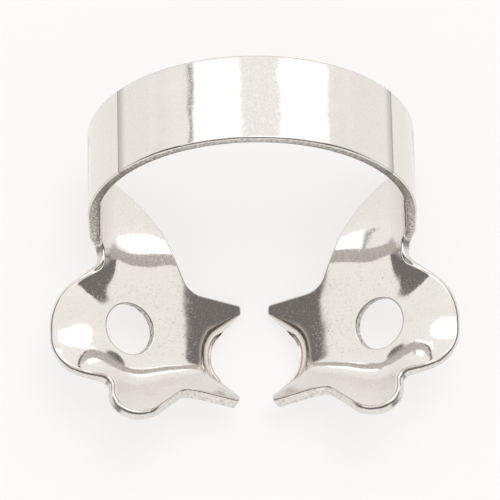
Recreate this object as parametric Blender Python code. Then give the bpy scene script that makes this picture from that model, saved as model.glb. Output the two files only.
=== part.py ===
"""Rubber dam clamp: one piece of polished stainless steel sheet.

The real clamp is stamped as a flat blank, its rim is rounded in a tumbling drum, and the blank
is then pressed and bent to shape. This script goes the same way. It draws half of the blank,
gives it thickness and a rounded rim, presses every point of it through one forming function,
mirrors the half over the middle of the bow, and sets the clamp down as it comes to rest.

Blank coordinates, in millimetres: x runs out from the middle of the tooth over the jaw, then up
the fold and the side, and along the bow to its middle. y runs to the front from the front edge
of the bow's strip. z is the sheet's thickness, up on the jaws.
"""
import bpy
import bmesh
import numpy as np
from math import radians, sin, cos, tan, atan2, pi, hypot, ceil
from mathutils.geometry import delaunay_2d_cdt

MM = 0.001

# The sheet, rolled thinner where the bow has to spring
jaw_thickness = 0.80
bow_thickness = 0.66

# The bow, a half circle of strip
bow_outer_width = 21.16
bow_strip_width = 6.0

# The jaw plate, seen along the bow's strip
jaw_drop = 4.3
fold_line = 9.0
plate_slope = radians(22.0)
bite_slope = radians(34.0)
bite_slope_start = 5.2
bite_slope_end = 2.5
wing_flattening = 1.2
shoulder_fade = 3.2

# The jaw plate, seen from the side: up from the heel, down to the hole, up to the front
heel_rise = radians(11.5)
middle_fall = radians(23.0)
front_rise = radians(27.0)
ridge_start = -0.4
ridge_end = 1.6
dish_start = 4.6
dish_end = 9.2
lobe_dish_end = 11.2
lobe_blend = 3.4

# The hole for the forceps
hole_diameter = 3.24
hole_from_middle = 8.22
hole_from_strip = 4.76

# The outline of the jaw
rear_tip_half_gap = 1.05
front_tip_half_gap = 1.22
bite_corner_half_gap = 3.58
bite_corner_y = 5.61
rear_prong_y = 2.0
rear_prong_width = 0.55
front_prong_y = 8.85
front_prong_width = 0.45
prong_root_half_gap = 4.75
wing_half_span = 13.34
wing_front_y = 8.52
wing_shoulder_y = 3.2
notch_half_gap = 10.2
notch_length = 1.22
lobe_front_y = 11.32
lobe_outer_half_gap = 9.45
lobe_inner_half_gap = 6.75
throat_half_gap = 4.38
rear_edge_middle_half_gap = 6.36
rear_edge_middle_y = -2.55
heel_corner = 9.8

# How much of the edge before and of the edge after each corner its rounding may take
notch_rear_rounding = (0.04, 0.53)
notch_front_rounding = (0.30, 0.15)
wing_rear_rounding = (0.49, 0.40)
wing_front_rounding = (0.56, 0.78)
lobe_notch_rounding = (0.20, 0.21)
lobe_outer_rounding = (0.60, 0.61)
lobe_inner_rounding = (0.37, 0.34)
prong_root_rounding = (0.18, 0.14)
front_tip_rounding = (0.10, 0.44)
front_tip_inner_rounding = (0.16, 0.05)
bite_rounding = (0.45, 0.44)
rear_tip_inner_rounding = (0.05, 0.13)
rear_tip_rounding = (0.36, 0.10)
throat_rounding = (0.24, 0.20)
rear_edge_rounding = (0.46, 0.48)
heel_rounding = (0.39, 0.15)

# The rounded rim, and the bevel along the bite
wing_rim = 0.28
bow_rim = 0.16
prong_rim = 0.12
bite_bevel_width = 0.62
bite_bevel_depth = 0.30

# Fineness of the mesh
outline_step = 0.5
arc_turn = radians(24.0)
bow_turn = radians(5.0)
grid_step = 0.62
grid_clearance = 0.38
rim_segments = 2
hole_segments = 24
heading_steps = 24
normal_reach = 0.0005

# Finish
steel_colour = (0.78, 0.77, 0.76, 1.0)
steel_roughness = 0.14

bow_radius = (bow_outer_width - bow_thickness) / 2.0
fold_radius = (bow_radius - fold_line) / (1.0 - sin(plate_slope))
fold_length = fold_radius * (pi / 2.0 - plate_slope)


def smooth(value):
    """Ease from 0 to 1 with level ends."""
    value = np.clip(value, 0.0, 1.0)
    return value * value * (3.0 - 2.0 * value)


def height_of_bend(distance, start, end, slope_before, slope_after):
    """Height along a line whose slope changes evenly from start to end; zero at distance 0."""
    def height(at):
        along = np.clip((at - start) / (end - start), 0.0, 1.0)
        bend = (end - start) * (slope_before * along + (slope_after - slope_before) * along ** 2 / 2.0)
        return bend + np.minimum(at - start, 0.0) * slope_before + np.maximum(at - end, 0.0) * slope_after
    return height(distance) - height(0.0)


def height_along(x, y):
    """Rise and fall of the plate from the heel to the front, where the front lobe curls last."""
    ridge = height_of_bend(y, ridge_start, ridge_end, tan(heel_rise), -tan(middle_fall))
    lobe_middle = (lobe_inner_half_gap + lobe_outer_half_gap) / 2.0
    lobe_share = 1.0 - smooth(np.abs(x - lobe_middle) / lobe_blend)
    end = dish_end + (lobe_dish_end - dish_end) * lobe_share
    dish = height_of_bend(y, dish_start, end, 0.0, tan(front_rise) + tan(middle_fall))
    return ridge + dish


def height_across(x):
    """Fall of the plate from the fold line to the bite."""
    inward = fold_line - x
    start = fold_line - bite_slope_start
    end = fold_line - bite_slope_end
    return height_of_bend(inward, start, end, -tan(plate_slope), -tan(bite_slope))


def side_length(y):
    """Straight side between the fold and the bow, longer where the plate lies lower."""
    return jaw_drop - height_along(fold_line, np.minimum(y, 0.0)) - fold_radius * cos(plate_slope)


arch_start = fold_line + fold_length + float(side_length(0.0))
bow_middle = arch_start + bow_radius * pi / 2.0


def heading(outward, y):
    """Direction of the sheet outside the fold line: it folds up to the side, or lies as a wing."""
    side = np.minimum(plate_slope + outward / fold_radius, pi / 2.0)
    wing = plate_slope * (1.0 - smooth(outward / wing_flattening))
    shoulder = 1.0 - smooth(y / shoulder_fade)
    return wing + (side - wing) * shoulder


def middle_surface(x, y):
    """Middle of the formed sheet; the bow's centre is at zero height."""
    outward = np.clip(x - fold_line, 0.0, fold_length)
    across = np.minimum(x, fold_line)
    height = -jaw_drop + height_along(x, y) + height_across(across)
    step = outward / heading_steps
    for index in range(heading_steps):
        angle = heading((index + 0.5) * step, y)
        across = across + step * np.cos(angle)
        height = height + step * np.sin(angle)
    straight = np.clip(x - fold_line - fold_length, 0.0, None)
    on_strip = y <= 0.0
    stretch = np.where(on_strip, side_length(y) / side_length(0.0), 1.0)
    straight = np.where(on_strip, np.minimum(straight, side_length(0.0)), straight) * stretch
    angle = heading(fold_length, y)
    across = across + straight * np.cos(angle)
    height = height + straight * np.sin(angle)
    arch_angle = (x - arch_start) / bow_radius
    on_arch = arch_angle > 0.0
    across = np.where(on_arch, bow_radius * np.cos(arch_angle), across)
    height = np.where(on_arch, bow_radius * np.sin(arch_angle), height)
    return np.stack([across, -y, height], axis=1)


def form(points):
    """Press the points of the flat blank to shape."""
    x, y, z = points.T
    over_x = middle_surface(x + normal_reach, y) - middle_surface(x - normal_reach, y)
    over_y = middle_surface(x, y - normal_reach) - middle_surface(x, y + normal_reach)
    normal = np.cross(over_x, over_y)
    normal /= np.linalg.norm(normal, axis=1)[:, None]
    thinning = (bow_thickness / jaw_thickness - 1.0) * smooth((x - fold_line) / fold_length)
    formed = middle_surface(x, y) + normal * (z * (1.0 + thinning))[:, None]
    formed[np.abs(x - bow_middle) < 1e-9, 0] = 0.0
    return formed


def outline_corners():
    """Corners of half the blank: x, y, rounding, and the width and depth of the rim there."""
    bow = (bow_rim, bow_rim)
    wing = (wing_rim, wing_rim)
    prong = (prong_rim, prong_rim)
    bite = (bite_bevel_width, bite_bevel_depth)
    return [
        (bow_middle, 0.0, None, bow),
        (notch_half_gap, 0.0, notch_rear_rounding, bow),
        (notch_half_gap, notch_length, notch_front_rounding, wing),
        (wing_half_span, wing_shoulder_y, wing_rear_rounding, wing),
        (wing_half_span, wing_front_y, wing_front_rounding, wing),
        (lobe_outer_half_gap, wing_front_y, lobe_notch_rounding, wing),
        (lobe_outer_half_gap, lobe_front_y, lobe_outer_rounding, wing),
        (lobe_inner_half_gap, lobe_front_y, lobe_inner_rounding, wing),
        (prong_root_half_gap, front_prong_y, prong_root_rounding, prong),
        (front_tip_half_gap, front_prong_y, front_tip_rounding, prong),
        (front_tip_half_gap, front_prong_y - front_prong_width, front_tip_inner_rounding, prong),
        (bite_corner_half_gap, bite_corner_y, bite_rounding, bite),
        (rear_tip_half_gap, rear_prong_y + rear_prong_width, rear_tip_inner_rounding, prong),
        (rear_tip_half_gap, rear_prong_y, rear_tip_rounding, prong),
        (throat_half_gap, rear_prong_y, throat_rounding, prong),
        (rear_edge_middle_half_gap, rear_edge_middle_y, rear_edge_rounding, prong),
        (heel_corner, -bow_strip_width, heel_rounding, bow),
        (bow_middle, -bow_strip_width, None, bow),
    ]


def corner_points(before, corner, after):
    """Points of the arc that rounds one corner, with the rim's rounding beside each."""
    at = np.array(corner[:2])
    back = np.array(before[:2]) - at
    ahead = np.array(after[:2]) - at
    setback = min(np.linalg.norm(back) * corner[2][0], np.linalg.norm(ahead) * corner[2][1])
    back /= np.linalg.norm(back)
    ahead /= np.linalg.norm(ahead)
    half_angle = np.arccos(np.clip(back @ ahead, -1.0, 1.0)) / 2.0
    turn = pi - 2.0 * half_angle
    radius = setback * tan(half_angle)
    bisector = (back + ahead) / np.linalg.norm(back + ahead)
    centre = at + bisector * radius / sin(half_angle)
    first = at + back * setback - centre
    last = at + ahead * setback - centre
    count = max(2, ceil(turn / arc_turn), ceil(radius * turn / outline_step))
    points = []
    for index in range(count + 1):
        share = index / count
        spoke = (first * sin((1.0 - share) * turn) + last * sin(share * turn)) / sin(turn)
        points.append((*(centre + spoke), *corner[3]))
    return points


def line_points(start, end):
    """Points between two arcs: at even turns over the bow, and evenly spaced elsewhere."""
    start = np.array(start)
    end = np.array(end)
    arch_count = ceil(pi / 2.0 / bow_turn)
    arch_stations = arch_start + (bow_middle - arch_start) * np.arange(arch_count + 1) / arch_count
    low = min(start[0], end[0])
    high = max(start[0], end[0])
    if high > arch_start:
        stations = [station for station in arch_stations if low < station < high]
        if end[0] < start[0]:
            stations.reverse()
        shares = [(station - start[0]) / (end[0] - start[0]) for station in stations]
    else:
        count = max(1, round(hypot(*(end - start)[:2]) / outline_step))
        shares = [index / count for index in range(1, count)]
    return [tuple(start + (end - start) * share) for share in shares]


def blank_outline():
    """Half the blank's outline, from the middle of the bow's front edge to its rear edge."""
    corners = outline_corners()
    outline = [(*corners[0][:2], *corners[0][3])]
    for before, corner, after in zip(corners, corners[1:], corners[2:]):
        arc = corner_points(before, corner, after)
        outline += line_points(outline[-1], arc[0])
        outline += arc
    last = (*corners[-1][:2], *corners[-1][3])
    outline += line_points(outline[-1], last)
    outline.append(last)
    return np.array(outline)


def hole_outline():
    """The hole, punched round in the flat, so it is drawn narrower by the slopes of the plate."""
    half_width = hole_diameter / 2.0 * cos(plate_slope)
    half_length = hole_diameter / 2.0 * cos(middle_fall)
    angles = 2.0 * pi * np.arange(hole_segments) / hole_segments
    x = hole_from_middle + half_width * np.cos(angles)
    y = hole_from_strip + half_length * np.sin(angles)
    rim = np.full(hole_segments, bow_rim)
    return np.stack([x, y, rim, rim], axis=1)


def outward_normals(line, closed):
    """Directions out of the sheet, lengthened at corners so that an offset keeps its width."""
    points = line[:, :2]
    if closed:
        following = np.roll(points, -1, axis=0) - points
        leading = points - np.roll(points, 1, axis=0)
    else:
        steps = np.diff(points, axis=0)
        following = np.vstack([steps, steps[-1:]])
        leading = np.vstack([steps[:1], steps])
    following /= np.linalg.norm(following, axis=1)[:, None]
    leading /= np.linalg.norm(leading, axis=1)[:, None]
    middle = following + leading
    middle /= np.linalg.norm(middle, axis=1)[:, None]
    stretch = np.sum(middle * following, axis=1)[:, None]
    return np.stack([middle[:, 1], -middle[:, 0]], axis=1) / stretch


def rim_rings(line, closed, side):
    """Rings of points over the rim, from the top face round to the bottom face."""
    normals = outward_normals(line, closed) * side
    half = jaw_thickness / 2.0
    rings = []
    for index in range(rim_segments + 1):
        angle = pi / 2.0 * index / rim_segments
        inset = line[:, 2:3] * (1.0 - sin(angle))
        height = half - line[:, 3:4] * (1.0 - cos(angle))
        rings.append(np.hstack([line[:, :2] - normals * inset, height]))
    for index in range(rim_segments, -1, -1):
        angle = pi / 2.0 * index / rim_segments
        rounding = np.minimum(line[:, 2:3], line[:, 3:4])
        inset = rounding * (1.0 - sin(angle))
        height = -half + rounding * (1.0 - cos(angle))
        rings.append(np.hstack([line[:, :2] - normals * inset, height]))
    return rings


def grid_points(boundary):
    """Points inside the jaw, in staggered rows, clear of the rim."""
    rows = np.arange(-bow_strip_width, lobe_front_y, grid_step * sin(pi / 3.0))
    points = []
    for number, y in enumerate(rows):
        for x in np.arange(grid_step / 2.0 * (number % 2), wing_half_span, grid_step):
            gap = np.hypot(boundary[:, 0] - x, boundary[:, 1] - y)
            if gap.min() > grid_clearance:
                points.append((x, y))
    return points


def face_triangles(outline_ring, hole_ring, first_outline, first_hole, height, points):
    """Fill one face of the blank between its outline and the hole; its inner points are added."""
    boundary = np.vstack([outline_ring, hole_ring])
    outline_count = len(outline_ring)
    loops = [list(range(outline_count)), list(range(outline_count, len(boundary)))]
    flat = [tuple(point[:2]) for point in boundary] + grid_points(boundary)
    filled = delaunay_2d_cdt(flat, [], loops, 2, 1e-7)
    numbers = {}
    for triangle in filled[2]:
        for index in triangle:
            source = filled[3][index][0]
            if index in numbers:
                continue
            if source < outline_count:
                numbers[index] = first_outline + source
            elif source < len(boundary):
                numbers[index] = first_hole + source - outline_count
            else:
                numbers[index] = len(points)
                points.append((*filled[0][index], height))
    return [tuple(numbers[index] for index in triangle) for triangle in filled[2]]


def half_blank():
    """Half the blank, open at the middle of the bow: its points and faces in the flat."""
    outline_rings = rim_rings(blank_outline(), False, 1.0)
    hole_rings = rim_rings(hole_outline(), True, -1.0)
    points = []
    faces = []
    starts = []
    for rings, closed in ((outline_rings, False), (hole_rings, True)):
        ring_starts = []
        for ring in rings:
            ring_starts.append(len(points))
            points += [tuple(point) for point in ring]
        count = len(rings[0])
        for upper, lower in zip(ring_starts, ring_starts[1:]):
            for index in range(count if closed else count - 1):
                after = (index + 1) % count
                faces.append((upper + index, upper + after, lower + after, lower + index))
        starts.append(ring_starts)
    for level, height in ((0, jaw_thickness / 2.0), (-1, -jaw_thickness / 2.0)):
        rings = (outline_rings[level], hole_rings[level])
        faces += face_triangles(*rings, starts[0][level], starts[1][level], height, points)
    return np.array(points), faces


def mass_centre(points, faces):
    """Centre of the half's volume, seen from the side."""
    moment = np.zeros(3)
    volume = 0.0
    for face in faces:
        for second, third in zip(face[1:], face[2:]):
            corners = points[[face[0], second, third]]
            part = np.dot(corners[0], np.cross(corners[1], corners[2])) / 6.0
            volume += part
            moment += part * corners.sum(axis=0) / 4.0
    return moment / volume


def resting_turn(points, centre):
    """Smallest turn about X that lays a line of contact level under the mass centre."""
    hull = []
    for point in sorted(map(tuple, points[:, 1:])):
        while len(hull) > 1:
            (first_y, first_z), (last_y, last_z) = hull[-2:]
            rise = (last_y - first_y) * (point[1] - first_z)
            if rise > (last_z - first_z) * (point[0] - first_y):
                break
            hull.pop()
        hull.append(point)
    turns = []
    for front, rear in zip(hull, hull[1:]):
        along_y = rear[0] - front[0]
        along_z = rear[1] - front[1]
        reach = (centre[1] - front[0]) * along_y + (centre[2] - front[1]) * along_z
        if 0.0 < reach < along_y ** 2 + along_z ** 2:
            turns.append(-atan2(along_z, along_y))
    return min(turns, key=abs)


def set_down(points, faces):
    """Stand the formed half on the ground, with its origin under the middle of the clamp."""
    turn = resting_turn(points, mass_centre(points, faces))
    x, y, z = points.T
    turned = np.stack([x, y * cos(turn) - z * sin(turn), y * sin(turn) + z * cos(turn)], axis=1)
    low = turned.min(axis=0)
    high = turned.max(axis=0)
    return turned - np.array([0.0, (low[1] + high[1]) / 2.0, low[2]])


def polished_steel():
    material = bpy.data.materials.new("polished_steel")
    material.use_nodes = True
    shader = material.node_tree.nodes["Principled BSDF"]
    shader.inputs["Base Color"].default_value = steel_colour
    shader.inputs["Metallic"].default_value = 1.0
    shader.inputs["Roughness"].default_value = steel_roughness
    material.diffuse_color = steel_colour
    return material


def build_clamp():
    flat_points, faces = half_blank()
    formed = set_down(form(flat_points), faces)
    mesh = bpy.data.meshes.new("clamp")
    mesh.from_pydata(formed * MM, [], faces)
    half = bmesh.new()
    half.from_mesh(mesh)
    bmesh.ops.recalc_face_normals(half, faces=half.faces)
    half.to_mesh(mesh)
    half.free()
    mesh.materials.append(polished_steel())
    clamp = bpy.data.objects.new("clamp", mesh)
    bpy.context.scene.collection.objects.link(clamp)
    mirror = clamp.modifiers.new("other_half", "MIRROR")
    mirror.use_axis = (True, False, False)
    mirror.use_mirror_merge = True
    mirror.merge_threshold = 0.00001
    mesh.shade_smooth()
    mesh.set_sharp_from_angle(angle=radians(50.0))
    return clamp


for leftover in list(bpy.data.objects):
    bpy.data.objects.remove(leftover, do_unlink=True)
build_clamp()
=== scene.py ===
# %% [markdown]
# # A rubber dam clamp in polished steel
# A dentist sets this small clamp on a tooth to hold a rubber sheet. The real one is a single
# piece of spring steel: stamped flat, tumbled until its rims are round, pressed and bent.
# This lesson makes it the same way, with a much finer mesh than the construction model has,
# because a mirror finish shows every facet. First comes the fixed frame that it must fit.

# %% Load the frame
import bpy
import numpy as np
from math import radians, sin, cos, tan, atan2, pi, hypot, ceil
from mathutils import Matrix, Vector
from mathutils.geometry import delaunay_2d_cdt


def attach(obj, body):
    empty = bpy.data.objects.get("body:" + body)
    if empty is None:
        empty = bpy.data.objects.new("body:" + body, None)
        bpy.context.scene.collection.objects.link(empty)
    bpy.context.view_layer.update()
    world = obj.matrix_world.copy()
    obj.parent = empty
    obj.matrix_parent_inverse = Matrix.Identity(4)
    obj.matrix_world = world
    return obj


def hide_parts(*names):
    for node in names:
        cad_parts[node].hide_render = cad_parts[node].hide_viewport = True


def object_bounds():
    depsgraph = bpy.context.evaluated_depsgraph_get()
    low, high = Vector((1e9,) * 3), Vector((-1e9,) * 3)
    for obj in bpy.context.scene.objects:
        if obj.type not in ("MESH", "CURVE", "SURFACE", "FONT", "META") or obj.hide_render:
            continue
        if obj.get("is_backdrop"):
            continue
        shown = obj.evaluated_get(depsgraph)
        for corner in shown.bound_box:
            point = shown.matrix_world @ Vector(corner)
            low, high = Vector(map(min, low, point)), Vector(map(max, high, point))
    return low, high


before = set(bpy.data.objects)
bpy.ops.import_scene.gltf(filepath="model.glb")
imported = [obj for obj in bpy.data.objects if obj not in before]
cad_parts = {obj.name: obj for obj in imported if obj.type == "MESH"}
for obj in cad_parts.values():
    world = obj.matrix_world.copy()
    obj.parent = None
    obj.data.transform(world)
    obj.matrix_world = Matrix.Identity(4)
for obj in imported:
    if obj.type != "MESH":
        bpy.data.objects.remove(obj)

MM = 0.001
cad_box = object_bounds()
print("frame box, mm:", [tuple(round(value / MM, 2) for value in corner) for corner in cad_box])

# %% [markdown]
# The sheet and its bends are a handful of sizes, in millimetres, because that is how such an
# instrument is drawn. The sheet, the bow and the hole are as in the construction model. A few
# slopes of the plate differ a little from it, because they were set by what the polished
# faces mirror, and a mirror shows a slope far more clearly than an outline does.

# %% Sizes of the sheet, the bow and the plate
jaw_thickness = 0.80
bow_thickness = 0.66
bow_outer_width = 21.16
bow_strip_width = 6.0
jaw_drop = 4.162
fold_line = 9.0
plate_slope = radians(22.0)
bite_slope = radians(32.0)
bite_slope_start = 5.5
bite_slope_end = 3.4
wing_roll = 3.2
shoulder_fade = 4.7
shoulder_taper = 0.95
shoulder_least = 0.8
heel_rise = radians(16.2)
middle_fall = radians(23.0)
front_rise = radians(27.0)
ridge_start = -1.8
ridge_end = 1.6
dish_start = 4.6
dish_end = 9.2
lobe_dish_end = 10.6
lobe_blend = 3.4
dish_sharpness = 0.42
bite_dish_shift = 0.6
bite_dish_blend = 2.0
wing_dish_start = 8.4
wing_dish_blend = 2.8
ridge_ripple = 0.08
ripple_middle = 7.6
ripple_length = 5.0
ripple_width = 1.3
ripple_from_ridge = 1.5
hole_diameter = 3.24
hole_from_middle = 8.22
hole_from_strip = 4.76
print("sheet, mm:", jaw_thickness, "at the jaws,", bow_thickness, "at the bow")

# %% [markdown]
# The jaw's outline has a wing with a front lobe, a hole for the forceps, and two prongs with
# a bite arc between them. The outline could be traced with a curve, but named sizes make it
# plain what each one does. Half gaps are measured from the line between the two jaws, and y
# from the bow strip's front edge.

# %% Sizes of the jaw's outline
rear_tip_half_gap = 1.05
front_tip_half_gap = 1.22
bite_corner_half_gap = 3.58
bite_corner_y = 5.61
rear_prong_y = 2.0
rear_prong_width = 0.55
front_prong_y = 8.85
front_prong_width = 0.45
prong_root_half_gap = 4.75
wing_half_span = 13.34
wing_front_y = 8.52
wing_shoulder_y = 3.2
notch_half_gap = 10.2
notch_length = 1.22
lobe_front_y = 11.32
lobe_outer_half_gap = 9.45
lobe_inner_half_gap = 6.75
throat_half_gap = 4.38
rear_edge_middle_half_gap = 6.36
rear_edge_middle_y = -2.55
heel_corner = 9.8
print("rear jaw tips apart, mm:", 2.0 * rear_tip_half_gap)
print("front jaw tips apart, mm:", 2.0 * front_tip_half_gap)

# %% [markdown]
# A stamped outline has no sharp corner: each one is rounded by an arc that takes a share of
# the edge before it and of the edge after it. The rim over the sheet's thickness is rounded
# too, widely on the wings, where a finger and the rubber touch, and finely on the prongs.

# %% Roundings of the outline and of the rim
notch_rear_rounding = (0.04, 0.53)
notch_front_rounding = (0.30, 0.15)
wing_rear_rounding = (0.49, 0.40)
wing_front_rounding = (0.56, 0.78)
lobe_notch_rounding = (0.20, 0.21)
lobe_outer_rounding = (0.60, 0.61)
lobe_inner_rounding = (0.37, 0.34)
prong_root_rounding = (0.18, 0.14)
front_tip_rounding = (0.10, 0.44)
front_tip_inner_rounding = (0.16, 0.05)
bite_rounding = (0.45, 0.44)
rear_tip_inner_rounding = (0.05, 0.13)
rear_tip_rounding = (0.36, 0.10)
throat_rounding = (0.24, 0.20)
rear_edge_rounding = (0.46, 0.48)
heel_rounding = (0.39, 0.15)
wing_rim = 0.28
bow_rim = 0.16
prong_rim = 0.12
bite_bevel_width = 1.15
bite_bevel_depth = 0.56
hole_rim = 0.08

print("rim rounding on the wings, the bow and the prongs, mm:", wing_rim, bow_rim, prong_rim)

# %% [markdown]
# The cut wall of a stamped sheet is torn where the punch broke through, and tumbling wears it
# smooth again. The bow's edge keeps most of its tear and the wings keep least, so each stretch
# of the outline has a number for it: 1 is a fresh break.

# %% How torn the cut wall is
bow_tear = 0.72
wing_tear = 0.22
prong_tear = 0.36
print("tear on the bow, the wings and the prongs:", bow_tear, wing_tear, prong_tear)

# %% [markdown]
# A mirror finish shows a coarse mesh at once. Points stand about an eighth of a millimetre
# apart on the outline and a fifth apart on the faces, and the bow has one strip for each
# degree and a half. Normals are measured over a much shorter reach.

# %% Fineness of the mesh
outline_step = 0.13
arc_turn = radians(7.0)
bow_turn = radians(1.5)
grid_step = 0.21
grid_clearance = 0.12
rim_segments = 5
hole_segments = 96
normal_reach = 0.0005
middle_tolerance = 1e-9
print("mesh steps, mm:", outline_step, "on the outline,", grid_step, "on the faces")

# %% [markdown]
# Pressing is one function: it takes a point of the flat blank and gives its place on the
# finished clamp. Blender could bend the sheet with Simple Deform and Lattice modifiers, but
# the fold, the ridge and the dish run into one another here, and a formula keeps them smooth.
# First come the slopes of the plate: along it, from the heel to the front, and across it.

# %% Slopes of the plate
bow_radius = (bow_outer_width - bow_thickness) / 2.0
fold_radius = (bow_radius - fold_line) / (1.0 - sin(plate_slope))
fold_length = fold_radius * (pi / 2.0 - plate_slope)


def smooth(value):
    """Ease from 0 to 1 with level ends."""
    value = np.clip(value, 0.0, 1.0)
    return value * value * (3.0 - 2.0 * value)


def height_of_bend(distance, start, end, slope_before, slope_after):
    """Height along a line whose slope changes evenly from start to end; zero at distance 0."""
    def height(at):
        along = np.clip((at - start) / (end - start), 0.0, 1.0)
        change = (slope_after - slope_before) * along ** 2 / 2.0
        bend = (end - start) * (slope_before * along + change)
        before = np.minimum(at - start, 0.0) * slope_before
        after = np.maximum(at - end, 0.0) * slope_after
        return bend + before + after
    return height(distance) - height(0.0)


def height_along(x, y):
    """Rise and fall of the plate from the heel to the front, where the front lobe curls last."""
    ridge = height_of_bend(y, ridge_start, ridge_end, tan(heel_rise), -tan(middle_fall))
    lobe_middle = (lobe_inner_half_gap + lobe_outer_half_gap) / 2.0
    lobe_share = 1.0 - smooth(np.abs(x - lobe_middle) / lobe_blend)
    end = dish_end + (lobe_dish_end - dish_end) * lobe_share
    end = end - bite_dish_shift * smooth((bite_slope_start - x) / bite_dish_blend)
    on_wing = smooth((x - wing_dish_start) / wing_dish_blend)
    half = (end - dish_start) / 2.0 * (dish_sharpness + (1.0 - dish_sharpness) * on_wing)
    middle = (dish_start + end) / 2.0
    dish = height_of_bend(y, middle - half, middle + half, 0.0, tan(front_rise) + tan(middle_fall))
    wave = np.cos(2.0 * pi * (x - ripple_middle) / ripple_length)
    from_ripple = (y - ridge_start - ripple_from_ridge) / ripple_width
    ripple = ridge_ripple * wave * np.exp(-from_ripple ** 2)
    return ridge + dish - ripple


def height_across(x):
    """Fall of the plate from the fold line to the bite."""
    inward = fold_line - x
    start = fold_line - bite_slope_start
    end = fold_line - bite_slope_end
    return height_of_bend(inward, start, end, -tan(plate_slope), -tan(bite_slope))


print("fold radius, mm:", round(fold_radius, 2))

# %% [markdown]
# Past the fold line the sheet goes one of two ways. Beside the strip it folds up into the
# bow's side, and further forward it rolls over into the wing. The shoulder between them is a
# blend of both, as the press draws it. The side then stands straight, and the bow is a half
# circle on top of it.

# %% The side and the bow
def side_length(y):
    """Straight side between the fold and the bow, longer where the plate lies lower."""
    return jaw_drop - height_along(fold_line, np.minimum(y, 0.0)) - fold_radius * cos(plate_slope)


arch_start = fold_line + fold_length + float(side_length(0.0))
bow_middle = arch_start + bow_radius * pi / 2.0


def side_arc(outward):
    """Reach and rise of the sheet that folds up to the side."""
    angle = np.minimum(plate_slope + outward / fold_radius, pi / 2.0)
    reach = fold_radius * (np.sin(angle) - sin(plate_slope))
    rise = fold_radius * (cos(plate_slope) - np.cos(angle))
    return reach, rise


def wing_arc(outward):
    """Reach and rise of the sheet that rolls over into the wing."""
    radius = wing_roll / plate_slope
    angle = plate_slope - outward / radius
    reach = radius * (sin(plate_slope) - np.sin(angle))
    rise = radius * (np.cos(angle) - cos(plate_slope))
    return reach, rise


def middle_surface(x, y):
    """Middle of the formed sheet; the bow's centre is at zero height."""
    outward = np.clip(x - fold_line, 0.0, None)
    on_strip = y <= 0.0
    straight = np.clip(outward - fold_length, 0.0, None)
    stretch = np.where(on_strip, side_length(y) / side_length(0.0), 1.0)
    straight = np.where(on_strip, np.minimum(straight, side_length(0.0)), straight) * stretch
    side_reach, side_rise = side_arc(outward)
    wing_reach, wing_rise = wing_arc(outward)
    fade = np.maximum(shoulder_fade - shoulder_taper * outward, shoulder_least)
    shoulder = 1.0 - smooth(y / fade)
    across = np.minimum(x, fold_line)
    height = -jaw_drop + height_along(x, y) + height_across(across)
    across = across + wing_reach + (side_reach - wing_reach) * shoulder
    height = height + wing_rise + (side_rise + straight - wing_rise) * shoulder
    arch_angle = (x - arch_start) / bow_radius
    on_arch = arch_angle > 0.0
    across = np.where(on_arch, bow_radius * np.cos(arch_angle), across)
    height = np.where(on_arch, bow_radius * np.sin(arch_angle), height)
    return np.stack([across, -y, height], axis=1)


print("strip from middle to middle of the bow, mm:", round(2.0 * bow_middle, 1))

# %% [markdown]
# A sheet has two faces and a rim. Each point of the blank has a height over the sheet's
# middle, and pressing moves it out along the middle surface's normal by that much. The same
# slopes give the direction that each point faces, which is kept for shading: a mirror finish
# shows the small errors of normals averaged from triangles.

# %% Press points and the directions they face
def sheet_axes(x, y):
    """Directions along x, along y and out of the pressed sheet."""
    along_x = middle_surface(x + normal_reach, y) - middle_surface(x - normal_reach, y)
    along_y = middle_surface(x, y + normal_reach) - middle_surface(x, y - normal_reach)
    out = np.cross(along_y, along_x)
    return [axis / np.linalg.norm(axis, axis=1)[:, None] for axis in (along_x, along_y, out)]


def form(points, facing):
    """Press the points of the flat blank, and turn the directions they face with them."""
    x, y, z = points.T
    along_x, along_y, out = sheet_axes(x, y)
    thinning = (bow_thickness / jaw_thickness - 1.0) * smooth((x - fold_line) / fold_length)
    formed = middle_surface(x, y) + out * (z * (1.0 + thinning))[:, None]
    formed[np.abs(x - bow_middle) < middle_tolerance, 0] = 0.0
    faced = along_x * facing[:, 0:1] + along_y * facing[:, 1:2] + out * facing[:, 2:3]
    faced /= np.linalg.norm(faced, axis=1)[:, None]
    return formed, faced


# %% [markdown]
# The blank's outline runs from the middle of the bow's front edge down the side, round the
# wing, the front lobe and the two prongs, and back up the bow's rear edge. Half of it is
# enough, because the jaws mirror each other.

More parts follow.
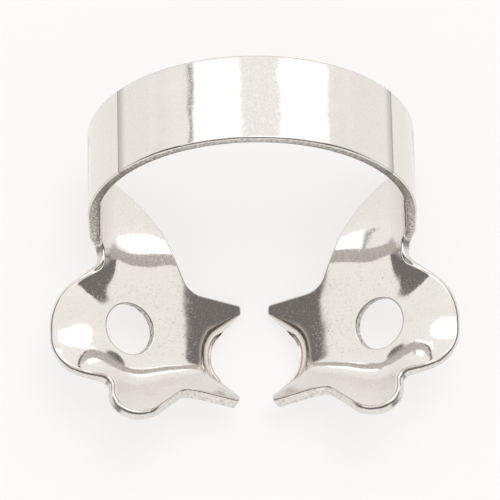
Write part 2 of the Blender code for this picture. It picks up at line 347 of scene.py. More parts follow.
# %% Corners of the outline
def outline_corners():
    """Corners of half the blank: x, y, rounding, and the rim's width, depth and tear there."""
    bow = (bow_rim, bow_rim, bow_tear)
    wing = (wing_rim, wing_rim, wing_tear)
    prong = (prong_rim, prong_rim, prong_tear)
    bite = (bite_bevel_width, bite_bevel_depth, 0.0)
    return [
        (bow_middle, 0.0, None, bow),
        (notch_half_gap, 0.0, notch_rear_rounding, bow),
        (notch_half_gap, notch_length, notch_front_rounding, wing),
        (wing_half_span, wing_shoulder_y, wing_rear_rounding, wing),
        (wing_half_span, wing_front_y, wing_front_rounding, wing),
        (lobe_outer_half_gap, wing_front_y, lobe_notch_rounding, wing),
        (lobe_outer_half_gap, lobe_front_y, lobe_outer_rounding, wing),
        (lobe_inner_half_gap, lobe_front_y, lobe_inner_rounding, wing),
        (prong_root_half_gap, front_prong_y, prong_root_rounding, prong),
        (front_tip_half_gap, front_prong_y, front_tip_rounding, prong),
        (front_tip_half_gap, front_prong_y - front_prong_width, front_tip_inner_rounding, prong),
        (bite_corner_half_gap, bite_corner_y, bite_rounding, bite),
        (rear_tip_half_gap, rear_prong_y + rear_prong_width, rear_tip_inner_rounding, prong),
        (rear_tip_half_gap, rear_prong_y, rear_tip_rounding, prong),
        (throat_half_gap, rear_prong_y, throat_rounding, prong),
        (rear_edge_middle_half_gap, rear_edge_middle_y, rear_edge_rounding, prong),
        (heel_corner, -bow_strip_width, heel_rounding, bow),
        (bow_middle, -bow_strip_width, None, bow),
    ]


# %% [markdown]
# Every corner becomes an arc that leaves its two edges smoothly, at a share of their lengths,
# so a size that changes later takes its roundings with it. Between the arcs, points are
# spaced evenly, and over the bow they stand at even turns, the same on both edges.

# %% Arcs and straight stretches
def corner_points(before, corner, after):
    """Points of the arc that rounds one corner, with the rim's rounding beside each."""
    at = np.array(corner[:2])
    back = np.array(before[:2]) - at
    ahead = np.array(after[:2]) - at
    setback = min(np.linalg.norm(back) * corner[2][0], np.linalg.norm(ahead) * corner[2][1])
    back /= np.linalg.norm(back)
    ahead /= np.linalg.norm(ahead)
    half_angle = np.arccos(np.clip(back @ ahead, -1.0, 1.0)) / 2.0
    turn = pi - 2.0 * half_angle
    radius = setback * tan(half_angle)
    bisector = (back + ahead) / np.linalg.norm(back + ahead)
    centre = at + bisector * radius / sin(half_angle)
    first = at + back * setback - centre
    last = at + ahead * setback - centre
    count = max(2, ceil(turn / arc_turn), ceil(radius * turn / outline_step))
    points = []
    for index in range(count + 1):
        share = index / count
        spoke = (first * sin((1.0 - share) * turn) + last * sin(share * turn)) / sin(turn)
        points.append((*(centre + spoke), *corner[3]))
    return points


def line_points(start, end):
    """Points between two arcs: at even turns over the bow, and evenly spaced elsewhere."""
    start = np.array(start)
    end = np.array(end)
    arch_count = ceil(pi / 2.0 / bow_turn)
    arch_stations = arch_start + (bow_middle - arch_start) * np.arange(arch_count + 1) / arch_count
    low = min(start[0], end[0])
    high = max(start[0], end[0])
    if high > arch_start:
        side_count = ceil((arch_start - low) / outline_step)
        side_stations = low + (arch_start - low) * np.arange(1, side_count) / side_count
        stations = [*side_stations, *[station for station in arch_stations if station < high]]
        if end[0] < start[0]:
            stations.reverse()
        shares = [(station - start[0]) / (end[0] - start[0]) for station in stations]
    else:
        count = max(1, round(hypot(*(end - start)[:2]) / outline_step))
        shares = [index / count for index in range(1, count)]
    return [tuple(start + (end - start) * share) for share in shares]


# %% [markdown]
# The arcs and stretches make one line round half the blank. The hole's outline is a loop of
# its own. Both carry the rim's width, depth and tear along with each point.

# %% The blank's outline and its hole
def blank_outline():
    """Half the blank's outline, from the middle of the bow's front edge to its rear edge."""
    corners = outline_corners()
    outline = [(*corners[0][:2], *corners[0][3])]
    for before, corner, after in zip(corners, corners[1:], corners[2:]):
        arc = corner_points(before, corner, after)
        outline += line_points(outline[-1], arc[0])
        outline += arc
    last = (*corners[-1][:2], *corners[-1][3])
    outline += line_points(outline[-1], last)
    outline.append(last)
    return np.array(outline)


def hole_outline():
    """The hole, punched round in the flat, so it is drawn narrower by the slopes of the plate."""
    half_width = hole_diameter / 2.0 * cos(plate_slope)
    half_length = hole_diameter / 2.0 * cos(middle_fall)
    angles = 2.0 * pi * np.arange(hole_segments) / hole_segments
    x = hole_from_middle + half_width * np.cos(angles)
    y = hole_from_strip + half_length * np.sin(angles)
    rim = np.full(hole_segments, hole_rim)
    return np.stack([x, y, rim, rim, np.ones(hole_segments)], axis=1)


outline = blank_outline()
print("points on half the outline:", len(outline))

# %% [markdown]
# The rim is a stack of rings. Each ring is the outline moved in and up along a quarter
# ellipse: over the top rounding, down the cut wall, and round the lower edge. Each ring also
# knows which way it faces, and how far down the cut wall it lies. That last number becomes a
# mask for the material, because a sheared wall is grainy while the faces are polished.

# %% Rings round the rim
def outward_normals(line, closed):
    """Directions out of the sheet, lengthened at corners so that an offset keeps its width."""
    points = line[:, :2]
    if closed:
        following = np.roll(points, -1, axis=0) - points
        leading = points - np.roll(points, 1, axis=0)
    else:
        steps = np.diff(points, axis=0)
        following = np.vstack([steps, steps[-1:]])
        leading = np.vstack([steps[:1], steps])
    following /= np.linalg.norm(following, axis=1)[:, None]
    leading /= np.linalg.norm(leading, axis=1)[:, None]
    middle = following + leading
    middle /= np.linalg.norm(middle, axis=1)[:, None]
    stretch = np.sum(middle * following, axis=1)[:, None]
    return np.stack([middle[:, 1], -middle[:, 0]], axis=1) / stretch


def ring(line, normals, width, depth, angle, level):
    """One ring: its points, the directions it faces and its share of cut wall."""
    half = jaw_thickness / 2.0
    inset = width * (1.0 - sin(angle))
    height = half - depth * (1.0 - cos(angle))
    out = normals / np.linalg.norm(normals, axis=1)[:, None]
    facing = np.hstack([out * depth * sin(angle), level * width * cos(angle)])
    points = np.hstack([line[:, :2] - normals * inset, level * height])
    wall = np.column_stack([np.full(len(line), sin(angle)), line[:, 4]])
    return points, facing, wall


def rim_rings(line, closed, side):
    """Rings over the rim, from the top face round to the bottom face."""
    normals = outward_normals(line, closed) * side
    width = line[:, 2:3]
    depth = line[:, 3:4]
    under = np.minimum(width, depth)
    angles = pi / 2.0 * np.arange(rim_segments + 1) / rim_segments
    upper = [ring(line, normals, width, depth, angle, 1.0) for angle in angles]
    lower = [ring(line, normals, under, under, angle, -1.0) for angle in angles[::-1]]
    return upper + lower


print("rings round the rim:", 2 * (rim_segments + 1))

# %% [markdown]
# Each face is filled with triangles between the rim and the hole. A constrained Delaunay
# filling takes the two loops and a field of points inside, and makes triangles that are
# nearly even, so the pressed face bends smoothly everywhere. The bow needs no points inside:
# it bends one way only, and long strips across it are exact.

# %% Fill a face
inside_with_holes = 2
same_point = 1e-7


def grid_points(boundary):
    """Points inside the jaw, in staggered rows, clear of the rim."""
    rows = np.arange(-bow_strip_width, lobe_front_y, grid_step * sin(pi / 3.0))
    points = []
    for number, y in enumerate(rows):
        near = boundary[np.abs(boundary[:, 1] - y) < grid_clearance]
        for x in np.arange(grid_step / 2.0 * (number % 2), wing_half_span, grid_step):
            gap = np.hypot(near[:, 0] - x, near[:, 1] - y)
            if len(near) == 0 or gap.min() > grid_clearance:
                points.append((x, y))
    return points


def face_triangles(outline_ring, hole_ring, first_outline, first_hole):
    """Fill one face of the blank between its outline and the hole; also gives its new points."""
    boundary = np.vstack([outline_ring, hole_ring])
    outline_count = len(outline_ring)
    loops = [list(range(outline_count)), list(range(outline_count, len(boundary)))]
    flat = [tuple(point[:2]) for point in boundary] + grid_points(boundary)
    filled = delaunay_2d_cdt(flat, [], loops, inside_with_holes, same_point)
    inner = []
    numbers = {}
    for index in sorted({index for triangle in filled[2] for index in triangle}):
        source = filled[3][index][0]
        if source < outline_count:
            numbers[index] = first_outline + source
        elif source < len(boundary):
            numbers[index] = first_hole + source - outline_count
        else:
            numbers[index] = -1 - len(inner)
            inner.append(tuple(filled[0][index]))
    return [tuple(numbers[index] for index in triangle) for triangle in filled[2]], inner


print("field of points, mm apart:", grid_step)

# %% [markdown]
# Rings and fillings are put together into half a blank: first the rings of the outline and of
# the hole, joined by four-sided faces, then the top face and the bottom face with the points
# inside them.

# %% Build half the blank
def half_blank():
    """Half the blank in the flat: points, facing directions, share of cut wall, and faces."""
    points, facing, wall, faces = [], [], [], []
    starts = []
    ring_sets = (rim_rings(outline, False, 1.0), rim_rings(hole_outline(), True, -1.0))
    count = 0
    for rings, closed in zip(ring_sets, (False, True)):
        length = len(rings[0][0])
        ring_starts = [count + length * number for number in range(len(rings))]
        count += length * len(rings)
        for ring_points, ring_facing, ring_wall in rings:
            points.append(ring_points)
            facing.append(ring_facing)
            wall.append(ring_wall)
        for upper, lower in zip(ring_starts, ring_starts[1:]):
            for index in range(length if closed else length - 1):
                after = (index + 1) % length
                faces.append((upper + index, upper + after, lower + after, lower + index))
        starts.append(ring_starts)
    for level, end in ((1.0, 0), (-1.0, -1)):
        rings = (ring_sets[0][end][0], ring_sets[1][end][0])
        triangles, inner = face_triangles(*rings, starts[0][end], starts[1][end])
        for triangle in triangles:
            faces.append(tuple(index if index >= 0 else count - 1 - index for index in triangle))
        inner = np.array(inner)
        points.append(np.column_stack([inner, np.full(len(inner), level * jaw_thickness / 2.0)]))
        facing.append(np.tile((0.0, 0.0, level), (len(inner), 1)))
        wall.append(np.zeros((len(inner), 2)))
        count += len(inner)
    return np.vstack(points), np.vstack(facing), np.vstack(wall), faces


flat_points, flat_facing, wall_share, half_faces = half_blank()
print("half the blank:", len(flat_points), "points,", len(half_faces), "faces")

# %% [markdown]
# Pressed, the clamp has to lie where the construction model lies: turned until its prongs and
# heels touch the table, and centred. The turn comes from the same rule as there: the mass
# centre must stand over the line between two contacts. Seen from the side, the contacts are
# neighbours on the lower hull of the clamp's points.

# %% Find how it rests
def mass_centre(points, faces):
    """Centre of the half's volume."""
    triangles = []
    for face in faces:
        triangles += [(face[0], *pair) for pair in zip(face[1:], face[2:])]
    corners = points[np.array(triangles)]
    parts = np.einsum("ij,ij->i", corners[:, 0], np.cross(corners[:, 1], corners[:, 2])) / 6.0
    return (parts[:, None] * corners.sum(axis=1) / 4.0).sum(axis=0) / parts.sum()


def resting_turn(points, centre):
    """Smallest turn about X that lays a line of contact level under the mass centre."""
    hull = []
    for point in sorted(map(tuple, points[:, 1:])):
        while len(hull) > 1:
            (first_y, first_z), (last_y, last_z) = hull[-2:]
            rise = (last_y - first_y) * (point[1] - first_z)
            if rise > (last_z - first_z) * (point[0] - first_y):
                break
            hull.pop()
        hull.append(point)
    turns = []
    for front, rear in zip(hull, hull[1:]):
        along_y = rear[0] - front[0]
        along_z = rear[1] - front[1]
        reach = (centre[1] - front[0]) * along_y + (centre[2] - front[1]) * along_z
        if 0.0 < reach < along_y ** 2 + along_z ** 2:
            turns.append(-atan2(along_z, along_y))
    return min(turns, key=abs)


print("a rule for resting, from the mass centre and the lower hull")

# %% [markdown]
# The half is pressed, turned and centred as one cloud of points. The triangle filling does
# not care which way round its corners go, so each face is turned to look out of the steel.

# %% Press it and set it down
def turned(vectors, turn):
    """The vectors, turned about X."""
    x, y, z = vectors.T
    return np.stack([x, y * cos(turn) - z * sin(turn), y * sin(turn) + z * cos(turn)], axis=1)


def outward_faces(points, facing, faces):
    """The faces with their corners in the order that makes them look out of the steel."""
    ordered = []
    for face in faces:
        first, second, third = points[list(face[:3])]
        if np.cross(second - first, third - first) @ facing[list(face)].sum(axis=0) < 0.0:
            face = tuple(reversed(face))
        ordered.append(face)
    return ordered


half_points, half_facing = form(flat_points, flat_facing)
half_faces = outward_faces(half_points, half_facing, half_faces)
rest_turn = resting_turn(half_points, mass_centre(half_points, half_faces))
half_points = turned(half_points, rest_turn)
half_facing = turned(half_facing, rest_turn)
low = half_points.min(axis=0)
high = half_points.max(axis=0)
ground_shift = np.array([0.0, (low[1] + high[1]) / 2.0, low[2]])
half_points -= ground_shift
bow_centre = -ground_shift
print("laid down by", round(rest_turn * 180.0 / pi, 2), "degrees")

# %% [markdown]
# The other half is the same points with X turned round. The points in the middle of the bow
# belong to both halves, so they are kept once.

# %% Join the halves into one mesh
def whole_mesh():
    """The clamp's mesh, with the facing directions, blank places and walls of its points."""
    count = len(half_points)
    on_middle = np.abs(flat_points[:, 0] - bow_middle) < middle_tolerance
    twin = np.full(count, -1)
    twin[on_middle] = np.nonzero(on_middle)[0]
    twin[~on_middle] = count + np.arange(int((~on_middle).sum()))
    mirror = np.array([-1.0, 1.0, 1.0])
    points = np.vstack([half_points, half_points[~on_middle] * mirror])
    facing = np.vstack([half_facing, half_facing[~on_middle] * mirror])
    other_blank = flat_points[~on_middle] * mirror + np.array([2.0 * bow_middle, 0.0, 0.0])
    blank = np.vstack([flat_points, other_blank])
    wall = np.vstack([wall_share, wall_share[~on_middle]])
    other_faces = [tuple(int(twin[index]) for index in reversed(face)) for face in half_faces]
    mesh = bpy.data.meshes.new("steel_clamp")
    mesh.from_pydata(points * MM, [], half_faces + other_faces)
    return mesh, points, facing, blank, wall


mesh, points, facing, blank, wall = whole_mesh()
print("points:", len(mesh.vertices), "faces:", len(mesh.polygons))

# %% [markdown]
# The facing directions go in as custom normals. Each point also carries its place on the flat
# blank, its share of cut wall and its tear as mesh attributes. The material reads them, so its
# grain lies on the blank as it did when the sheet was rolled, and bends with it.

# %% Keep the facing directions and the masks
mesh.shade_smooth()
mesh.normals_split_custom_set_from_vertices([tuple(direction) for direction in facing])
place = mesh.attributes.new("blank_place", "FLOAT_VECTOR", "POINT")
place.data.foreach_set("vector", blank.astype(np.float32).ravel())
for column, name in enumerate(("cut_wall", "cut_tear")):
    share = mesh.attributes.new(name, "FLOAT", "POINT")
    share.data.foreach_set("value", wall[:, column].astype(np.float32))
clamp = bpy.data.objects.new("steel_clamp", mesh)
bpy.context.scene.collection.objects.link(clamp)
triangle_count = sum(len(polygon.vertices) - 2 for polygon in mesh.polygons)
print("triangles:", triangle_count)

# %% [markdown]
# ## Steel
# The finish is made of shader nodes, set up from Python. A few helpers keep that readable:
# each adds one node, fills its sockets and gives back its output, so nodes can be written
# almost like sums.

# %% Helpers for shader nodes
def new_group(name, inputs, outputs):
    """A node group with its sockets, and its input and output nodes."""
    group = bpy.data.node_groups.new(name, "ShaderNodeTree")
    for socket, kind, value in inputs:
        item = group.interface.new_socket(socket, in_out="INPUT", socket_type=kind)
        if value is not None:
            item.default_value = value
    for socket, kind in outputs:
        group.interface.new_socket(socket, in_out="OUTPUT", socket_type=kind)
    start = group.nodes.new("NodeGroupInput")
    end = group.nodes.new("NodeGroupOutput")
    return group, start, end


def link(tree, source, target):
    """Join an output to an input."""
    tree.links.new(source, target)


def math_node(tree, operation, first, second=0.5, third=0.5):
    """A Math node, fed with sockets or plain numbers."""
    node = tree.nodes.new("ShaderNodeMath")
    node.operation = operation
    for socket, value in zip(node.inputs, (first, second, third)):
        if isinstance(value, (int, float)):
            socket.default_value = value
        else:
            link(tree, value, socket)
    return node.outputs[0]


def ramp_node(tree, value, low, high, low_result=0.0, high_result=1.0):
    """A smooth ramp from one result to another."""
    node = tree.nodes.new("ShaderNodeMapRange")
    node.interpolation_type = "SMOOTHSTEP"
    link(tree, value, node.inputs["Value"])
    node.inputs["From Min"].default_value = low
    node.inputs["From Max"].default_value = high
    node.inputs["To Min"].default_value = low_result
    node.inputs["To Max"].default_value = high_result
    return node.outputs["Result"]


def noise_node(tree, vector, scale, detail, roughness=0.55):
    """A Noise Texture's grey value."""
    node = tree.nodes.new("ShaderNodeTexNoise")
    link(tree, vector, node.inputs["Vector"])
    if isinstance(scale, (int, float)):
        node.inputs["Scale"].default_value = scale
    else:
        link(tree, scale, node.inputs["Scale"])
    node.inputs["Detail"].default_value = detail
    node.inputs["Roughness"].default_value = roughness
    return node.outputs["Fac"]


print("helpers: link, math_node, ramp_node and noise_node")

# %% [markdown]
# Tumbled steel is bright but not a perfect mirror: fine pits and a faint orange peel blur it,
# and dark reflections look grainy. That grain is a node group, because the polished faces and
# the sheared wall both use it, each at its own scale and contrast.

# %% A group for fine grain
group_detail = 4.0
group_roughness = 0.7

grain, grain_in, grain_out = new_group(
    "steel_grain",
    [
        ("Place", "NodeSocketVector", None),
        ("Scale", "NodeSocketFloat", 11.0),
        ("Contrast", "NodeSocketFloat", 1.5),
    ],
    [("Height", "NodeSocketFloat"), ("Speckle", "NodeSocketFloat")],
)
place_in = grain_in.outputs["Place"]
scale_in = grain_in.outputs["Scale"]
fine = noise_node(grain, place_in, scale_in, group_detail, group_roughness)
spread = math_node(grain, "SUBTRACT", fine, 0.5)
scaled = math_node(grain, "MULTIPLY", spread, grain_in.outputs["Contrast"])
link(grain, fine, grain_out.inputs["Height"])
link(grain, math_node(grain, "ADD", scaled, 0.5), grain_out.inputs["Speckle"])
print("group", grain.name, "with", len(grain.nodes), "nodes")

# %% [markdown]
# The sheared wall of a stamped sheet shows a bright band where the punch slid, and a torn,
# grey-brown band where the steel broke. The mask for the torn band is the share of cut wall
# times the tear. A wide noise makes the band wander, and a fine one breaks it into patches.

# %% Torn steel on the cut wall
grain_scale = 11.0
grain_contrast = 1.5
tear_scale = 5.0
tear_contrast = 2.2
wander_scale = 0.9
wander_detail = 2.0
wander_depth = 0.05
wall_start = 0.88
wall_full = 0.98
torn_speckle = (0.25, 0.85)
least_torn = 0.15

steel = bpy.data.materials.new("polished_steel")
steel.use_nodes = True
tree = steel.node_tree
shader = tree.nodes["Principled BSDF"]
shader.inputs["Metallic"].default_value = 1.0


def attribute_node(tree, name, output):
    """What the mesh carries under this name."""
    node = tree.nodes.new("ShaderNodeAttribute")
    node.attribute_name = name
    return node.outputs[output]


def grain_node(tree, vector, scale, contrast):
    """The grain group, placed in a material with its own values."""
    node = tree.nodes.new("ShaderNodeGroup")
    node.node_tree = grain
    link(tree, vector, node.inputs["Place"])
    node.inputs["Scale"].default_value = scale
    node.inputs["Contrast"].default_value = contrast
    return node


blank_at = attribute_node(tree, "blank_place", "Vector")
wall_at = attribute_node(tree, "cut_wall", "Fac")
tear_at = attribute_node(tree, "cut_tear", "Fac")
polish = grain_node(tree, blank_at, grain_scale, grain_contrast)
tear = grain_node(tree, blank_at, tear_scale, tear_contrast)

wander = noise_node(tree, blank_at, wander_scale, wander_detail)
wandering = math_node(tree, "MULTIPLY_ADD", wander, 2.0 * wander_depth, -wander_depth)
on_wall = ramp_node(tree, math_node(tree, "ADD", wall_at, wandering), wall_start, wall_full)
torn_patches = ramp_node(tree, tear.outputs["Speckle"], *torn_speckle, least_torn, 1.0)
torn = math_node(tree, "MULTIPLY", math_node(tree, "MULTIPLY", on_wall, tear_at), torn_patches)
print("steel reads blank_place, cut_wall and cut_tear")

# %% [markdown]
# Stainless steel is a pale, slightly warm grey, and its pits are a shade darker. On a metal
# the Base Color is the colour of the mirror, so the two greys are mixed by the grain.

# %% Colour of the polished steel
steel_colour = (0.85, 0.82, 0.79, 1.0)
dull_colour = (0.77, 0.735, 0.70, 1.0)
pit_speckle = (0.2, 0.8)


def mix_colour(tree, factor, first, second):
    """A Mix node for two colours, fed with sockets or plain colours."""
    node = tree.nodes.new("ShaderNodeMix")
    node.data_type = "RGBA"
    link(tree, factor, node.inputs["Factor"])
    for socket, value in ((node.inputs["A"], first), (node.inputs["B"], second)):
        if isinstance(value, tuple):
            socket.default_value = value
        else:
            link(tree, value, socket)
    return node.outputs["Result"]


pitted = ramp_node(tree, polish.outputs["Speckle"], *pit_speckle)
polished_colour = mix_colour(tree, pitted, dull_colour, steel_colour)
print("steel:", steel_colour[:3], "and in its pits:", dull_colour[:3])

# %% [markdown]
# Each side of the bow has a thin dark line with a grey shade towards the middle. Both are painted
# reflection: they stand for the dark horizon that the polished bow mirrors there, painted into the
# colour and measured along the flat strip. The two lines do not stand quite evenly, so both are
# shifted a little.

# %% Painted reflection lines on the bow
painted_reflection_colour = (0.30, 0.28, 0.26, 1.0)
mark_distance = 9.94
mark_shift = -0.51
mark_width = 0.10
mark_shade_width = 0.85
mark_shade = 0.60
mark_line_shade = 0.40


def distance_from(blank_x, middle):
    """Distance along the strip from a place on it."""
    return math_node(tree, "ABSOLUTE", math_node(tree, "SUBTRACT", blank_x, middle))


blank_parts = tree.nodes.new("ShaderNodeSeparateXYZ")
link(tree, blank_at, blank_parts.inputs["Vector"])
from_marks = distance_from(blank_parts.outputs["X"], bow_middle + mark_shift)
shade_start = mark_distance - mark_shade_width
line_start = mark_distance - mark_width / 2.0
shade = ramp_node(tree, from_marks, shade_start, mark_distance, 0.0, mark_shade)
line = ramp_node(tree, from_marks, line_start, mark_distance, 0.0, mark_line_shade)
mark_end = ramp_node(tree, from_marks, mark_distance, mark_distance + mark_width, 1.0, 0.0)
# The dark lines and their grey shade are painted reflection on the bow.
painted_reflection = math_node(tree, "MULTIPLY", math_node(tree, "ADD", shade, line), mark_end)
colour_with_painted_reflection = mix_colour(tree, painted_reflection, polished_colour, painted_reflection_colour)
marks = [round(mark_distance + shift, 2) for shift in (mark_shift, -mark_shift)]
print("bend marks, mm from the bow's middle:", marks)

# %% [markdown]
# The bow's inner face, under the arch, is painted a darker grey as painted shade, and the jaws
# mirror it as a grey band. The rim has a thin brown line between its polished rounding and its
# cut wall. Last the torn band goes over all of it.

# %% Painted shade under the arch, rim line and torn band
arch_shade_colour = (0.60, 0.575, 0.55, 1.0)
rim_line_colour = (0.42, 0.35, 0.28, 1.0)
torn_colour = (0.15, 0.125, 0.10, 1.0)
inner_fade = 2.0
inner_height = (-0.05, 0.15)
rim_line_start = 0.30
rim_line_middle = 0.50
rim_line_end = 0.72
rim_line_share = 0.75

from_middle = distance_from(blank_parts.outputs["X"], bow_middle)
half_arch = bow_middle - arch_start
inner_face = ramp_node(tree, blank_parts.outputs["Z"], *inner_height)
on_bow = ramp_node(tree, from_middle, half_arch - inner_fade, half_arch, 1.0, 0.0)
# The darker grey on the bow's inner face is painted shade under the arch.
inner = math_node(tree, "MULTIPLY", inner_face, on_bow)
colour_with_arch_shade = mix_colour(tree, inner, colour_with_painted_reflection, arch_shade_colour)

rim_line_rise = ramp_node(tree, wall_at, rim_line_start, rim_line_middle, 0.0, rim_line_share)
rim_line_fall = ramp_node(tree, wall_at, rim_line_middle, rim_line_end, 1.0, 0.0)
rim_line = math_node(tree, "MULTIPLY", rim_line_rise, rim_line_fall)
edged_colour = mix_colour(tree, rim_line, colour_with_arch_shade, rim_line_colour)
link(tree, mix_colour(tree, torn, edged_colour, torn_colour), shader.inputs["Base Color"])
print("colour nodes so far:", len(tree.nodes))

# %% [markdown]
# Polished steel is almost a mirror. Pits scatter a little light, which makes dark reflections
# speckled, and the torn band is rough. The orange peel is a very low, wide relief that makes
# the edges of the mirrored windows uneven. Relief goes through a Bump node, in millimetres.

# %% Gloss and relief of the steel
mirror_roughness = 0.06
pit_roughness = 0.42
torn_roughness = 0.35
deep_pits = (0.50, 0.85)
peel_scale = 0.55
peel_detail = 1.0
peel_height = 0.034
grain_height = 0.0008
torn_height = 0.015

pits = ramp_node(tree, polish.outputs["Speckle"], *deep_pits, mirror_roughness, pit_roughness)
roughness = math_node(tree, "MULTIPLY_ADD", torn, torn_roughness, pits)
link(tree, roughness, shader.inputs["Roughness"])

peel = noise_node(tree, blank_at, peel_scale, peel_detail)
fine_relief = math_node(tree, "MULTIPLY", polish.outputs["Height"], grain_height)
torn_grain = math_node(tree, "MULTIPLY", torn, tear.outputs["Height"])
torn_relief = math_node(tree, "MULTIPLY", torn_grain, torn_height)
small_relief = math_node(tree, "ADD", fine_relief, torn_relief)
relief = math_node(tree, "MULTIPLY_ADD", peel, peel_height, small_relief)
bump = tree.nodes.new("ShaderNodeBump")
bump.inputs["Strength"].default_value = 1.0
bump.inputs["Distance"].default_value = MM
link(tree, relief, bump.inputs["Height"])
link(tree, bump.outputs["Normal"], shader.inputs["Normal"])
mesh.materials.append(steel)
print("steel has", len(tree.nodes), "nodes")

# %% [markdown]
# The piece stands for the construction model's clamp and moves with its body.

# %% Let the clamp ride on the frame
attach(clamp, "root")
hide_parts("clamp")
print("piece:", clamp.name)

# %% [markdown]
# ## Floor
# The clamp lies on white paper. Where the camera or a mirror looks at the paper, it is mixed
# with plain white, so it stays white without more light on the steel and keeps its shadow.

# %% Paper floor
floor_size = 1.6
paper_roughness = 0.6
paper_colour = (0.90, 0.89, 0.875, 1.0)
plain_white = (0.99, 0.98, 0.965, 1.0)
white_share = 0.70

floor_mesh = bpy.data.meshes.new("paper")
half_floor = floor_size / 2.0
floor_corners = [(x, y, 0.0) for x, y in ((-1, -1), (1, -1), (1, 1), (-1, 1))]
floor_points = [Vector(corner) * half_floor for corner in floor_corners]
floor_mesh.from_pydata(floor_points, [], [(0, 1, 2, 3)])
floor = bpy.data.objects.new("paper", floor_mesh)
bpy.context.scene.collection.objects.link(floor)
paper = bpy.data.materials.new("white_paper")
paper.use_nodes = True
paper_tree = paper.node_tree
paper_shader = paper_tree.nodes["Principled BSDF"]
paper_shader.inputs["Base Color"].default_value = paper_colour
paper_shader.inputs["Roughness"].default_value = paper_roughness
rays = paper_tree.nodes.new("ShaderNodeLightPath")
by_camera = rays.outputs["Is Camera Ray"]
in_mirror = rays.outputs["Is Glossy Ray"]
seen = math_node(paper_tree, "MAXIMUM", by_camera, in_mirror)
plain = paper_tree.nodes.new("ShaderNodeEmission")
plain.inputs["Color"].default_value = plain_white
blend = paper_tree.nodes.new("ShaderNodeMixShader")
link(paper_tree, math_node(paper_tree, "MULTIPLY", seen, white_share), blend.inputs["Fac"])
link(paper_tree, paper_shader.outputs["BSDF"], blend.inputs[1])
link(paper_tree, plain.outputs["Emission"], blend.inputs[2])
link(paper_tree, blend.outputs["Shader"], paper_tree.nodes["Material Output"].inputs["Surface"])
floor_mesh.materials.append(paper)
floor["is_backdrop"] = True
print("paper, m:", floor_size)

# %% [markdown]
# ## Studio
# Polished metal shows mostly what stands round it. The photograph's studio is a white tent
# with two windows of light to the rear, a small soft lamp above them, and dark openings on the
# camera's side and far out at both sides. All of that is drawn into the world by direction.
# Lamps and cards round the clamp would do too, but they would stand in the way of a camera
# that looks from another side.

# %% Directions in the studio
world = bpy.data.worlds.new("tent")
bpy.context.scene.world = world
world.use_nodes = True
sky = world.node_tree
background = sky.nodes["Background"]
separate = sky.nodes.new("ShaderNodeSeparateXYZ")
sky_direction = sky.nodes.new("ShaderNodeTexCoord").outputs["Generated"]
link(sky, sky_direction, separate.inputs["Vector"])
sideways = separate.outputs["X"]
rearward = separate.outputs["Y"]
upward = separate.outputs["Z"]
far_side = math_node(sky, "ABSOLUTE", sideways)
print("directions: sideways, rearward and upward, from -1 to 1")

# %% [markdown]
# A patch of the tent is a range of directions in each of the three ways, with soft edges, and
# the lamp is what lies within an angle of its direction. Each patch is laid over the ones
# before it at its own brightness, where the tent itself is about 1.

# %% Patches of light and dark
anywhere = 2.0
window_back = (0.58, 0.90)
window_height = (0.20, 0.66)
window_edge = 0.03
right_window_side = (0.31, 0.73)
left_window_side = (-0.56, -0.10)
frame_side = (-0.61, -0.575)
frame_edge = 0.02
opening_back = (-0.76, 0.05)
opening_height = (0.50, anywhere)
opening_edge = 0.04
side_opening_low = (-0.05, 0.42)
side_opening_back = (0.42, 0.66)
side_opening_side = (0.725, 0.755)


def band(tree, value, low, high, soft):
    """1 between low and high, easing to 0 over soft."""
    rise = ramp_node(tree, value, low - soft / 2.0, low + soft / 2.0)
    fall = ramp_node(tree, value, high - soft / 2.0, high + soft / 2.0, 1.0, 0.0)
    return math_node(tree, "MULTIPLY", rise, fall)


def patch(side, side_range, rear_range, up_range, soft):
    """A patch of the tent: a range sideways, one to the rear and one upward."""
    across = band(sky, side, *side_range, soft)
    deep = band(sky, rearward, *rear_range, soft)
    high = band(sky, upward, *up_range, soft)
    return math_node(sky, "MULTIPLY", across, math_node(sky, "MULTIPLY", deep, high))


tent_level = 1.04
window_level = 1.45
frame_level = 0.45
lamp_level = 2.2
opening_level = 0.20
lamp_direction = Vector((0.17, 0.48, 0.86)).normalized()
lamp_half_angle = radians(20.0)
lamp_core = 0.3
right_window = patch(sideways, right_window_side, window_back, window_height, window_edge)
left_window = patch(sideways, left_window_side, window_back, window_height, window_edge)
window_frame = patch(sideways, frame_side, window_back, window_height, frame_edge)
to_lamp = sky.nodes.new("ShaderNodeVectorMath")
to_lamp.operation = "DOT_PRODUCT"
link(sky, sky_direction, to_lamp.inputs[0])
to_lamp.inputs[1].default_value = lamp_direction
lamp_edge = cos(lamp_half_angle)
lamp = ramp_node(sky, to_lamp.outputs["Value"], lamp_edge, cos(lamp_half_angle * lamp_core))
all_sides = (-anywhere, anywhere)
camera_opening = patch(far_side, all_sides, opening_back, opening_height, opening_edge)
low_edge = ramp_node(sky, upward, *side_opening_low)
rear_edge = ramp_node(sky, rearward, *side_opening_back, 1.0, 0.0)
outer_edge = ramp_node(sky, far_side, *side_opening_side)
side_edges = math_node(sky, "MULTIPLY", low_edge, rear_edge)
side_opening = math_node(sky, "MULTIPLY", outer_edge, side_edges)
patches = (
    (right_window, window_level),
    (left_window, window_level),
    (window_frame, frame_level),
    (lamp, lamp_level),
    (camera_opening, opening_level),
    (side_opening, opening_level),
)
level = tent_level
for mask, patch_level in patches:
    difference = math_node(sky, "SUBTRACT", patch_level, level)
    level = math_node(sky, "MULTIPLY_ADD", mask, difference, level)
print("patches in the tent:", len(patches))

# %% [markdown]
# Only mirrors see the tent as drawn. A camera ray that meets it sees plain white, so other
# views have a plain backdrop. The paper is lit by an even tent and the lamp, which casts the
# soft shadow, so that the dark openings do not darken it. What shows through the openings in
# the mirror is a warm dark room.

# %% Light the scene with the world
even_level = 0.87
lamp_on_paper = 4.5
tent_colour = (1.0, 0.985, 0.965, 1.0)
opening_colour = (1.0, 0.93, 0.90, 1.0)

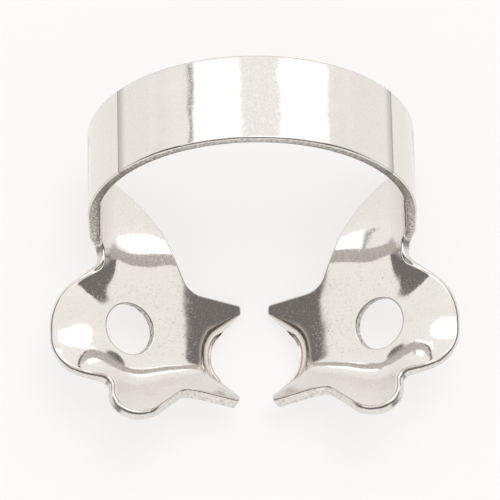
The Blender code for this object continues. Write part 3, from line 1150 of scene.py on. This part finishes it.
sky_rays = sky.nodes.new("ShaderNodeLightPath")
lamp_alone = math_node(sky, "MULTIPLY_ADD", lamp, lamp_on_paper, even_level)
to_mirror = math_node(sky, "SUBTRACT", level, lamp_alone)
for_light = math_node(sky, "MULTIPLY_ADD", sky_rays.outputs["Is Glossy Ray"], to_mirror, lamp_alone)
to_white = math_node(sky, "SUBTRACT", 1.0, for_light)
strength = math_node(sky, "MULTIPLY_ADD", sky_rays.outputs["Is Camera Ray"], to_white, for_light)
openings = math_node(sky, "ADD", camera_opening, side_opening)
mirrored_openings = math_node(sky, "MULTIPLY", openings, sky_rays.outputs["Is Glossy Ray"])
light_colour = mix_colour(sky, mirrored_openings, tent_colour, opening_colour)
link(sky, light_colour, background.inputs["Color"])
link(sky, strength, background.inputs["Strength"])
print("world has", len(sky.nodes), "nodes")

# %% [markdown]
# ## Camera
# The photograph looks onto the clamp 62.5 degrees off the line along the bow's strip. Laid
# down as it rests, the clamp is seen from almost straight above. The camera is far away with
# a long lens, since the photograph shows hardly any perspective, and it is turned a little.

# %% Camera at the photograph's angle
picture_width = 500.0
pixels_per_mm = 15.55
view_angle = radians(62.5)
camera_distance = 380.0
camera_roll = radians(1.25)
bow_centre_pixel = (252.3, 216.9)

toward = turned(np.array([[0.0, -cos(view_angle), sin(view_angle)]]), rest_turn)[0]
above = turned(np.array([[0.0, sin(view_angle), cos(view_angle)]]), rest_turn)[0]
right = np.array([1.0, 0.0, 0.0]) * cos(camera_roll) - above * sin(camera_roll)
upright = np.array([1.0, 0.0, 0.0]) * sin(camera_roll) + above * cos(camera_roll)
to_right = (picture_width / 2.0 - bow_centre_pixel[0]) / pixels_per_mm
to_top = (bow_centre_pixel[1] - picture_width / 2.0) / pixels_per_mm
eye = bow_centre + toward * camera_distance + right * to_right + upright * to_top

camera_data = bpy.data.cameras.new("camera")
camera = bpy.data.objects.new("camera", camera_data)
bpy.context.scene.collection.objects.link(camera)
axes = Matrix((right, upright, toward)).transposed().to_4x4()
camera.matrix_world = Matrix.Translation(Vector(eye) * MM) @ axes
camera_data.lens = camera_data.sensor_width * camera_distance * pixels_per_mm / picture_width
camera_data.clip_start = 0.01
camera_data.clip_end = 10.0
bpy.context.scene.camera = camera
print("lens, mm:", round(camera_data.lens, 1))

# %% [markdown]
# Colours are shown as they are written, without a film look. Last, the frame's box and the
# finished clamp's box are noted side by side, so that both sizes can be compared.

# %% Picture settings
bpy.context.scene.view_settings.view_transform = "Standard"
print("view transform:", bpy.context.scene.view_settings.view_transform)

# %% Note the sizes
boxes = {"cad": cad_box, "visual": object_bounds()}
boxes = {name: [list(corner) for corner in box] for name, box in boxes.items()}
